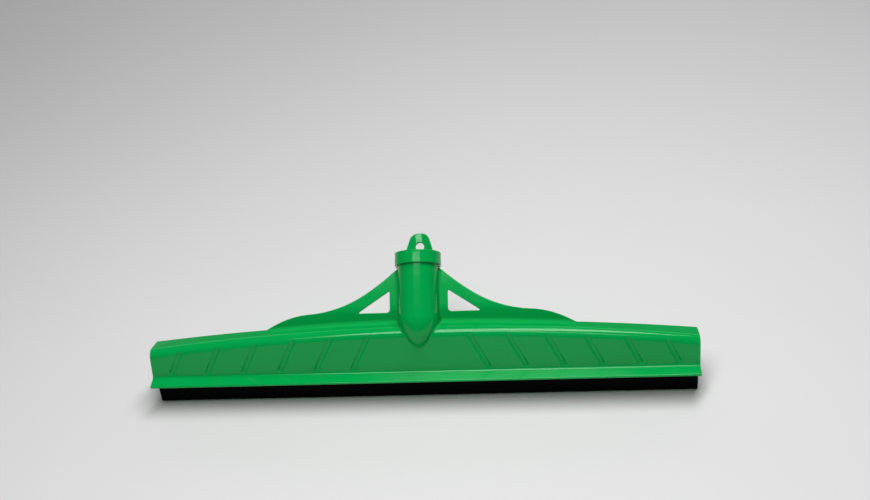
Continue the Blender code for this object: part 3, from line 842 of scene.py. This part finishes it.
side_foot = COLLAR_RADIUS - SIDE_FOOT_IN
ring_profile = [(COLLAR_INNER, COLLAR_FOOT + COLLAR_CHAMFER), (COLLAR_INNER, COLLAR_TOP - COLLAR_CAP)]
ring_profile += [(COLLAR_MOUTH, COLLAR_TOP - COLLAR_CAP)]
ring_profile += corner_arc((COLLAR_MOUTH + MOUTH_EDGE, COLLAR_TOP - MOUTH_EDGE), MOUTH_EDGE, 180, 90)
ring_profile += corner_arc((COLLAR_RADIUS - COLLAR_EDGE, COLLAR_TOP - COLLAR_EDGE),
                           COLLAR_EDGE, 90, 14, 5)
ring_profile += [(COLLAR_RADIUS - SIDE_TOP[0], COLLAR_TOP - SIDE_TOP[1])]
ring_profile += corner_arc((side_foot - COLLAR_FOOT_EDGE, COLLAR_FOOT + COLLAR_FOOT_EDGE),
                           COLLAR_FOOT_EDGE, 0, -90)
ring_profile += [(COLLAR_INNER + COLLAR_CHAMFER, COLLAR_FOOT)]
collar = turned("hanging_collar_ring", ring_profile, 96, closed=True)
print("ring", len(collar.data.polygons))

# %% Bend the eye onto the ring
EYE_FOOT_HALF, EYE_TOP_HALF, EYE_THICKNESS = 0.0131, 0.0066, 0.0033
EYE_RISE, EYE_SUNK, EYE_TOP_RADIUS, EYE_EDGE = 0.0201, 0.0012, 0.0077, 0.0007
EYE_HOLE, EYE_HOLE_RISE, HOLE_STEPS = 0.0036, 0.0085, 40
HOLE_CUT_FRONT, HOLE_CUT_BACK = 0.006, -0.003
EYE_CUTS, EYE_CUT_STEP = 9, 0.0013

tongue_low, tongue_high = COLLAR_TOP - EYE_SUNK, COLLAR_TOP + EYE_RISE
tongue = rounded([
    (Vector((-EYE_FOOT_HALF, tongue_low)), 0, 0), (Vector((EYE_FOOT_HALF, tongue_low)), 0, 0),
    (Vector((EYE_TOP_HALF, tongue_high)), EYE_TOP_RADIUS, 16),
    (Vector((-EYE_TOP_HALF, tongue_high)), EYE_TOP_RADIUS, 16),
])
hole = []
for k in range(HOLE_STEPS):
    angle = 2 * math.pi * k / HOLE_STEPS
    hole.append(Vector((EYE_HOLE * math.cos(angle),
                        COLLAR_TOP + EYE_HOLE_RISE + EYE_HOLE * math.sin(angle))))
eye = slab("hanging_eye", tongue, EYE_THICKNESS, 0)
cut(eye, slab("hole_cutter", hole, HOLE_CUT_FRONT, HOLE_CUT_BACK))
soften(eye, EYE_EDGE)
for k in range(-EYE_CUTS, EYE_CUTS + 1):
    edit(eye, everything=True)
    bpy.ops.mesh.bisect(plane_co=(EYE_CUT_STEP * k, 0, 0), plane_no=(1, 0, 0))
    done()
inner = COLLAR_RADIUS - EYE_THICKNESS
for vertex in eye.data.vertices:
    x, height, out = vertex.co
    radius = inner + out
    vertex.co = (x, -math.sqrt(radius ** 2 - x ** 2), height)
merge_doubles(eye)
take(collar, eye)
bpy.ops.object.join()
settle(collar, SOCKET_PLACE)
shade_round(collar)
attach(collar, "head")
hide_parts("hanging_collar")

# %% [markdown]
# ## The foam strips
# Two strips of black cellular rubber do the wiping. They are sawn from a block, so their faces are
# nearly flat and their edges only slightly broken, but foam is never quite straight: the cut faces
# wander by less than a tenth of a millimetre, the foot spreads a little on the floor, and the strip
# is pinched where the channel holds it. A cube is stretched to the strip's size, divided into a fine
# grid, and its points are then moved by those amounts.

# %% Make the strips
FOAM_EDGE = 0.0011
FOAM_SLACK = 0.0004
# How many parts a strip is divided into along X, Z and Y.
FOAM_DIVISIONS = ((90, 0), (12, 2), (3, 1))
LONG_WAVE, SHORT_WAVE = 0.00006, 0.00004
FOOT_SPREAD, TOP_PINCH = 0.00012, 0.00010
PINCH_START, TOP_START = 0.86, 0.9
SIDE_ROUND = 0.0015


def foam_strip(name, node, phase):
    """One strip in the place of its solid, with its cut faces slightly uneven."""
    low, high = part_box(node)
    middle, size = (low + high) / 2, high - low
    let_go()
    bpy.ops.mesh.primitive_cube_add(size=1, location=(0, 0, 0))
    strip = bpy.context.object
    strip.name = strip.data.name = name
    strip.scale = (size.x, size.y - FOAM_SLACK, size.z)
    bpy.ops.object.transform_apply(location=False, rotation=False, scale=True)
    edit(strip, "EDGE", everything=True)
    bpy.ops.mesh.bevel(offset=FOAM_EDGE, segments=4, affect="EDGES")
    done()
    for count, axis in FOAM_DIVISIONS:
        for k in range(1, count):
            place, normal = Vector((0, 0, 0)), Vector((0, 0, 0))
            place[axis] = size[axis] * (k / count - 0.5)
            normal[axis] = 1
            edit(strip, everything=True)
            bpy.ops.mesh.bisect(plane_co=place, plane_no=normal)
            done()
    for vertex in strip.data.vertices:
        x, y, z = vertex.co
        up = z / size.z + 0.5
        side = math.copysign(1, y) * min(1, abs(y) / (size.y / 2 - SIDE_ROUND))
        wander = LONG_WAVE * math.sin(x * 61 + phase) + SHORT_WAVE * math.sin(x * 173 + up * 5 + phase)
        spread = FOOT_SPREAD * math.exp(-up * 14)
        pinch = TOP_PINCH * max(0, (up - PINCH_START) / (1 - PINCH_START))
        vertex.co.y += wander * 0.6 + side * (spread - pinch)
        if up > TOP_START:
            vertex.co.z += SHORT_WAVE * math.sin(x * 97 + phase)
    settle(strip, Matrix.Translation(middle))
    shade_round(strip, 40)
    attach(strip, "refill")
    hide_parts(node)
    return strip


foam_front = foam_strip("foam_strip_front", "foam_front", 0.3)
foam_rear = foam_strip("foam_strip_rear", "foam_rear", 2.1)

# %% [markdown]
# ## The rail
# The strips are glued to the web of a plastic rail, and the head of its T rides on two ledges inside
# the channel. It is made as the real one is: an outline with rounded corners is extruded, and the
# rims of its ends are broken as a saw and a scraper would leave them.

# %% Extrude the rail
low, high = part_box("refill_rail")
WEB_HALF, HEAD_HALF, HEAD_UNDER = 0.0012, 0.0075, 0.0374
WEB_EDGE, HEAD_EDGE, HEAD_LOWER_EDGE, WEB_ROOT = 0.0006, 0.0006, 0.0005, 0.0002
SAWN_EDGE = 0.00025


def at_middle(corners):
    """Corners given from the rail's middle plane, as outline corners with a radius."""
    return [(Vector((MID_Y + y, z)), radius, 4) for y, z, radius in corners]


rail_outline = rounded(at_middle([
    (-WEB_HALF, low.z, WEB_EDGE), (WEB_HALF, low.z, WEB_EDGE),
    (WEB_HALF, HEAD_UNDER, WEB_ROOT), (HEAD_HALF, HEAD_UNDER, HEAD_LOWER_EDGE),
    (HEAD_HALF, high.z, HEAD_EDGE), (-HEAD_HALF, high.z, HEAD_EDGE),
    (-HEAD_HALF, HEAD_UNDER, HEAD_LOWER_EDGE), (-WEB_HALF, HEAD_UNDER, WEB_ROOT),
]))
rail = laid_ring("refill_backbone", [(low.x, y, z) for y, z in rail_outline])
edit(rail, everything=True)
bpy.ops.mesh.edge_face_add()
bpy.ops.mesh.extrude_region_move(TRANSFORM_OT_translate={"value": (high.x - low.x, 0, 0)})
done()
merge_doubles(rail)
edit_some(rail, "EDGE", lambda edge: rail.data.vertices[edge.vertices[0]].co.x
          == rail.data.vertices[edge.vertices[1]].co.x)
bpy.ops.mesh.bevel(offset=SAWN_EDGE, segments=2, affect="EDGES")
done()
shade_round(rail)
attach(rail, "refill")
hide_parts("refill_rail")

# %% [markdown]
# ## Colours and nodes
# Colours are picked from the picture as sRGB hex values and turned to linear light by one function.
# One small function adds a node with its settings and its links.

# %% Colour and node helpers
def linear(hex_colour):
    """Turn an sRGB hex colour into linear RGBA."""
    values = [int(hex_colour[i:i + 2], 16) / 255 for i in (0, 2, 4)]
    channels = [v / 12.92 if v <= 0.04045 else ((v + 0.055) / 1.055) ** 2.4 for v in values]
    return (*channels, 1.0)


def add_node(tree, kind, settings, links):
    """Add a node. Settings are properties or input values, links are (input, output) pairs."""
    node = tree.nodes.new(kind)
    for name, value in settings.items():
        if isinstance(name, str) and hasattr(node, name):
            setattr(node, name, value)
        else:
            node.inputs[name].default_value = value
    for name, output in links:
        tree.links.new(node.inputs[name], output)
    return node


def start_material(name, settings):
    """A material with its own node tree; the settings go on the shader's own sockets."""
    material = bpy.data.materials.new(name)
    material.use_nodes = True
    tree = material.node_tree
    shader = tree.nodes["Principled BSDF"]
    for socket_name, value in settings.items():
        shader.inputs[socket_name].default_value = value
    place = add_node(tree, "ShaderNodeTexCoord", {}, []).outputs["Object"]
    return material, tree, shader, place


def set_ramp(node, *stops):
    """Put (position, hex colour) stops on a colour ramp."""
    for element, (position, colour) in zip(node.color_ramp.elements, stops):
        element.position = position
        element.color = linear(colour)


def paint(material, *pieces):
    """Give each of these pieces this one material."""
    for piece in pieces:
        piece.data.materials.clear()
        piece.data.materials.append(material)
        print(material.name, "on", piece.name)

# %% [markdown]
# ## Green polypropylene
# The moulding is glossy polypropylene, coloured right through. The polished mould leaves it smooth,
# with a faint orange peel a few millimetres across, where the plastic shrank, and a very fine grain.
# The pigment follows the flow of the melt, so the green drifts a little along the head.

# %% Moulded green
# Polypropylene has an IOR of 1.49; its green pigment also tints the weak reflections.
green, tree, shader, place = start_material(
    "moulded_green_polypropylene",
    {"IOR": 1.49, "Specular IOR Level": 0.30, "Specular Tint": (0.80, 1.0, 0.84, 1.0)})
stretch = add_node(tree, "ShaderNodeMapping", {"Scale": (0.35, 1, 1)}, [("Vector", place)])
flow = add_node(tree, "ShaderNodeTexNoise", {"Scale": 22, "Detail": 3, "Roughness": 0.5},
                [("Vector", stretch.outputs[0])])
tint = add_node(tree, "ShaderNodeValToRGB", {}, [("Fac", flow.outputs[0])])
set_ramp(tint, (0.30, "00A54B"), (0.72, "00AB50"))
tree.links.new(shader.inputs["Base Color"], tint.outputs["Color"])
# Patches about 15 mm across are slightly less polished.
polish = add_node(tree, "ShaderNodeTexNoise", {"Scale": 65, "Detail": 2}, [("Vector", place)])
gloss = add_node(tree, "ShaderNodeMapRange",
                 {"From Min": 0.3, "From Max": 0.7, "To Min": 0.08, "To Max": 0.12},
                 [("Value", polish.outputs[0])])
# A mould can't be polished down in its narrow corners, so the plastic comes out matt in the folds.
corners = add_node(tree, "ShaderNodeAttribute", {"attribute_name": "unpolished"}, [])
dulled = add_node(tree, "ShaderNodeMath", {"operation": "MULTIPLY_ADD", 1: 0.88},
                  [(0, corners.outputs["Fac"]), (2, gloss.outputs[0])])
tree.links.new(shader.inputs["Roughness"], dulled.outputs[0])
# Orange peel of about 5 mm, and a grain of about 0.4 mm.
peel = add_node(tree, "ShaderNodeTexNoise", {"Scale": 200, "Detail": 1}, [("Vector", place)])
peel_bump = add_node(tree, "ShaderNodeBump", {"Strength": 0.5, "Distance": 0.00005},
                     [("Height", peel.outputs[0])])
grain = add_node(tree, "ShaderNodeTexNoise", {"Scale": 2500, "Detail": 2}, [("Vector", place)])
grain_bump = add_node(tree, "ShaderNodeBump", {"Strength": 0.25, "Distance": 0.00001},
                      [("Height", grain.outputs[0]), ("Normal", peel_bump.outputs[0])])
tree.links.new(shader.inputs["Normal"], grain_bump.outputs[0])
paint(green, head, collar)

# %% [markdown]
# ## Black cellular rubber
# The strips are closed-cell rubber, sawn so that its cells lie open. The cells are about 0.7 to
# 1.2 mm across, and the cut face is dead matt. Their black is painted darker in the cell hollows as
# painted shade and lighter on the thin walls as painted light. Saw marks a few millimetres apart
# run down the faces.

# %% Sawn foam
# Rubber has an IOR of 1.52, and its open cells scatter nearly all that it would mirror.
foam, tree, shader, place = start_material(
    "sawn_black_cellular_rubber", {"IOR": 1.52, "Specular IOR Level": 0.08})
small_cells = add_node(tree, "ShaderNodeTexVoronoi", {"Scale": 1500, "Randomness": 0.95},
                       [("Vector", place)])
big_cells = add_node(tree, "ShaderNodeTexVoronoi", {"Scale": 850, "Randomness": 1.0},
                     [("Vector", place)])
both = add_node(tree, "ShaderNodeMath", {"operation": "MULTIPLY"},
                [(0, small_cells.outputs["Distance"]), (1, big_cells.outputs["Distance"])])
# The base colour is painted shade in the cell hollows and painted light on the thin cell walls.
painted_cell_shading = add_node(tree, "ShaderNodeValToRGB", {}, [("Fac", both.outputs[0])])
set_ramp(painted_cell_shading, (0.05, "020203"), (0.60, "09090B"))
tree.links.new(shader.inputs["Base Color"], painted_cell_shading.outputs["Color"])
matt = add_node(tree, "ShaderNodeMapRange", {"To Min": 0.85, "To Max": 1.0},
                [("Value", both.outputs[0])])
tree.links.new(shader.inputs["Roughness"], matt.outputs[0])
saw_place = add_node(tree, "ShaderNodeMapping", {"Scale": (1, 0.2, 0.12)}, [("Vector", place)])
saw = add_node(tree, "ShaderNodeTexNoise", {"Scale": 320, "Detail": 2},
               [("Vector", saw_place.outputs[0])])
saw_bump = add_node(tree, "ShaderNodeBump", {"Strength": 0.35, "Distance": 0.0001},
                    [("Height", saw.outputs[0])])
cell_bump = add_node(tree, "ShaderNodeBump", {"Strength": 0.8, "Distance": 0.0003},
                     [("Height", both.outputs[0]), ("Normal", saw_bump.outputs[0])])
tree.links.new(shader.inputs["Normal"], cell_bump.outputs[0])
paint(foam, foam_front, foam_rear)

# %% [markdown]
# ## Grey polypropylene
# The rail is extruded from recycled grey polypropylene. Extruding leaves fine lines along its length
# and a satin surface.

# %% Extruded grey
grey, tree, shader, place = start_material(
    "extruded_grey_polypropylene", {"IOR": 1.49, "Specular IOR Level": 0.5})
lines_place = add_node(tree, "ShaderNodeMapping", {"Scale": (0.01, 1, 1)}, [("Vector", place)])
lines = add_node(tree, "ShaderNodeTexNoise", {"Scale": 1800, "Detail": 2},
                 [("Vector", lines_place.outputs[0])])
speck = add_node(tree, "ShaderNodeTexNoise", {"Scale": 300, "Detail": 2}, [("Vector", place)])
shade = add_node(tree, "ShaderNodeValToRGB", {}, [("Fac", speck.outputs[0])])
set_ramp(shade, (0.35, "373A3D"), (0.70, "404447"))
tree.links.new(shader.inputs["Base Color"], shade.outputs["Color"])
satin = add_node(tree, "ShaderNodeMapRange", {"To Min": 0.42, "To Max": 0.58},
                 [("Value", lines.outputs[0])])
tree.links.new(shader.inputs["Roughness"], satin.outputs[0])
line_bump = add_node(tree, "ShaderNodeBump", {"Strength": 0.4, "Distance": 0.00003},
                     [("Height", lines.outputs[0])])
tree.links.new(shader.inputs["Normal"], line_bump.outputs[0])
paint(grey, rail)

# %% [markdown]
# ## Floor and light
# The head stands on a plain pale floor. A long softbox hangs overhead, turned across the head. It
# draws the pale line along the fold, at the front edge of the fold on the left and further back on
# the right, as in the picture. A wide strip light in front of it draws the pale stripes on the eye
# and the collar, and ends just before the tube would mirror it. A large weak light far behind keeps
# the floor pale up to the top of the picture. The colours are shown without a film curve, because the
# green of the picture is very saturated.

# %% Floor
let_go()
FLOOR_RADIUS, FLOOR_DROP = 4, 0.0001
bpy.ops.mesh.primitive_circle_add(
    vertices=96, radius=FLOOR_RADIUS, fill_type="NGON", location=(0, 0, -FLOOR_DROP))
floor = bpy.context.object
floor.name = "studio_floor"
floor_paint, tree, shader, place = start_material("pale_floor_paint", {"Roughness": 0.9})
mottle = add_node(tree, "ShaderNodeTexNoise", {"Scale": 3, "Detail": 2}, [("Vector", place)])
pale = add_node(tree, "ShaderNodeValToRGB", {}, [("Fac", mottle.outputs[0])])
set_ramp(pale, (0.3, "E4E4E4"), (0.7, "E6E6E6"))
tree.links.new(shader.inputs["Base Color"], pale.outputs["Color"])
paint(floor_paint, floor)

# %% Lights
def softbox(name, place, width, depth, spin, power):
    """A soft area light that looks down, turned about the vertical by an angle in degrees."""
    bpy.ops.object.light_add(type="AREA", location=place)
    lamp = bpy.context.object
    lamp.name = name
    lamp.data.shape = "RECTANGLE"
    lamp.data.size = width
    lamp.data.size_y = depth
    lamp.data.energy = power
    lamp.rotation_euler = (0, 0, math.radians(spin))


softbox("overhead_softbox", place=(0.092, -0.047, 1.25), width=0.36, depth=1.30, spin=-31, power=14.2)
softbox("front_strip_light", place=(-0.04, -0.6775, 1.25), width=0.86, depth=0.115, spin=0, power=3.4)
softbox("background_light", place=(-0.5, 2.3, 1.1), width=4.4, depth=2.0, spin=0, power=18.0)

world = bpy.data.worlds.new("studio_air")
world.use_nodes = True
air = world.node_tree.nodes["Background"]
air.inputs["Color"].default_value = (1, 1, 1, 1)
air.inputs["Strength"].default_value = 0.06
bpy.context.scene.world = world
bpy.context.scene.view_settings.view_transform = "Standard"

# %% Finish
bpy.context.view_layer.update()
